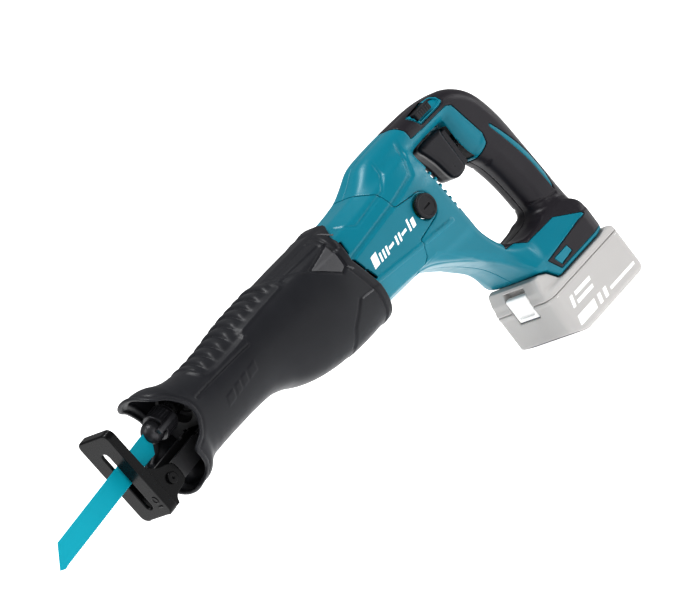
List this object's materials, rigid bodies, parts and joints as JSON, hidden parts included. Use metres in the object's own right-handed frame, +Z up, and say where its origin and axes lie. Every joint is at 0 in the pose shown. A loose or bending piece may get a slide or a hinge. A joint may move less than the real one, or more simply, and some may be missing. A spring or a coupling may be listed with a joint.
{
  "type": "cordless reciprocating saw",
  "caption": "Cordless reciprocating saw with a D-shaped rear handle, rubber-booted front grip, pivoting shoe, straight blade and slide-on battery pack.",
  "frame": {"origin": "centre of the bounding box's bottom, on the plane of the battery pack's base", "axes": "+X towards the rear, with the blade along -X; +Y to the tool's right side; +Z up, square to the battery pack's base"},
  "size_m": [0.5748, 0.0805, 0.2213],
  "materials": {
    "teal_plastic": "satin moulded",
    "boot_rubber": "matte moulded",
    "grip_rubber": "matte moulded",
    "black_plastic": "fine texture",
    "badge_teal": "smooth",
    "cast_aluminium": "as cast",
    "turned_steel": "ground",
    "bearing_steel": "polished",
    "sintered_bronze": "sintered",
    "brass": "turned",
    "carbon": "pressed carbon",
    "magnet": "pressed ferrite",
    "lamination": "stacked laminations",
    "copper": "enamelled wire",
    "fan_plastic": "moulded",
    "blade_paint": "satin paint",
    "shoe_paint": "gloss paint",
    "clamp_steel": "black oxide",
    "lens": "clear",
    "trigger_plastic": "satin moulded",
    "battery_plastic": "satin moulded",
    "cell_wrap": "shrink wrapped",
    "button_white": "smooth",
    "seal_rubber": "smooth"
  },
  "bodies": {
    "housing": {"front_boot": "boot_rubber", "gear_housing": "cast_aluminium", "gear_housing_cover": "cast_aluminium", "gear_cover_screws": "turned_steel", "motor_housing": "teal_plastic", "handle_left": "teal_plastic", "handle_right": "teal_plastic", "handle_screws": "turned_steel", "grip_cover_left": "grip_rubber", "grip_cover_right": "grip_rubber", "foot_badge_left": "badge_teal", "foot_badge_right": "badge_teal", "lock_bezel_left": "badge_teal", "lock_bezel_right": "badge_teal", "brush_cap_left": "black_plastic", "brush_cap_right": "black_plastic", "brush_holders": "brass", "carbon_brushes": "carbon", "brush_springs": "turned_steel", "field_case": "turned_steel", "field_magnets": "magnet", "front_motor_bearing": "bearing_steel", "rear_motor_bearing": "bearing_steel", "front_bearing_plate": "cast_aluminium", "plunger_front_bush": "sintered_bronze", "plunger_rear_bush": "sintered_bronze", "plunger_seal": "seal_rubber", "crank_upper_bearing": "bearing_steel", "crank_lower_bearing": "bearing_steel", "lamp_lens": "lens", "switch_body": "black_plastic", "trigger_spring": "turned_steel", "terminal_block": "black_plastic", "terminal_blades": "brass", "speed_controller": "black_plastic"},
    "rotor": {"armature_shaft": "turned_steel", "armature_core": "lamination", "armature_windings": "copper", "commutator": "copper", "cooling_fan": "fan_plastic", "drive_pinion": "turned_steel"},
    "crank": {"crank_gear": "turned_steel", "crank_shaft": "turned_steel", "crank_pin": "turned_steel"},
    "roller": {"crank_roller": "bearing_steel"},
    "plunger": {"plunger_rod": "bearing_steel", "plunger_yoke": "turned_steel", "blade_clamp_body": "clamp_steel", "blade_clamp_pin": "turned_steel", "blade": "blade_paint"},
    "clamp_collar": {"clamp_sleeve": "clamp_steel"},
    "shoe_carrier": {"shoe_bar": "turned_steel", "shoe_rivet": "turned_steel"},
    "shoe": {"shoe_plate": "shoe_paint"},
    "trigger": {"trigger": "trigger_plastic"},
    "lock_off": {"lock_off_bar": "black_plastic"},
    "battery": {"battery_case_upper": "battery_plastic", "battery_case_lower": "battery_plastic", "battery_cells": "cell_wrap"},
    "battery_button": {"battery_release_button": "button_white"}
  },
  "joints": [
    {"name": "rotor_spin", "type": "hinge", "parent": "housing", "child": "rotor", "pos_m": [0.10594, 0, 0.165], "axis": [1, 0, 0], "continuous": true},
    {"name": "crank_spin", "type": "hinge", "parent": "housing", "child": "crank", "pos_m": [0.02394, 0, 0.147], "axis": [0, 0, 1], "continuous": true},
    {"name": "roller_spin", "type": "hinge", "parent": "crank", "child": "roller", "pos_m": [0.02394, 0.016, 0.171], "axis": [0, 0, 1], "continuous": true},
    {"name": "plunger_slide", "type": "slide", "parent": "housing", "child": "plunger", "axis": [0.9976, 0, 0.0698], "range_m": [-0.016, 0.016]},
    {"name": "clamp_sleeve_turn", "type": "hinge", "parent": "plunger", "child": "clamp_collar", "pos_m": [-0.14209, 0, 0.18784], "axis": [0.9976, 0, 0.0698], "range_deg": [0, 60], "stiffness_Nm_per_rad": 0.08, "springref_deg": -17.19},
    {"name": "shoe_slide", "type": "slide", "parent": "housing", "child": "shoe_carrier", "axis": [-0.9976, 0, -0.0698], "range_m": [0, 0.03]},
    {"name": "shoe_tilt", "type": "hinge", "parent": "shoe_carrier", "child": "shoe", "pos_m": [-0.17299, 0, 0.15661], "axis": [0, 1, 0], "range_deg": [-12, 12]},
    {"name": "trigger_pull", "type": "slide", "parent": "housing", "child": "trigger", "axis": [1, 0, 0], "range_m": [0, 0.0065], "stiffness_N_per_m": 900, "springref_m": -0.003},
    {"name": "lock_off_push", "type": "slide", "parent": "housing", "child": "lock_off", "axis": [0, 1, 0], "range_m": [0, 0.004], "stiffness_N_per_m": 500, "springref_m": -0.003},
    {"name": "battery_slide", "type": "slide", "parent": "housing", "child": "battery", "axis": [-1, 0, 0], "range_m": [0, 0.095]},
    {"name": "battery_release", "type": "slide", "parent": "battery", "child": "battery_button", "axis": [1, 0, 0], "range_m": [0, 0.0025], "stiffness_N_per_m": 800, "springref_m": -0.003}
  ],
  "couplings": [
    {"joint": "crank_spin", "follows": "rotor_spin", "ratio": 0.26829}
  ]
}
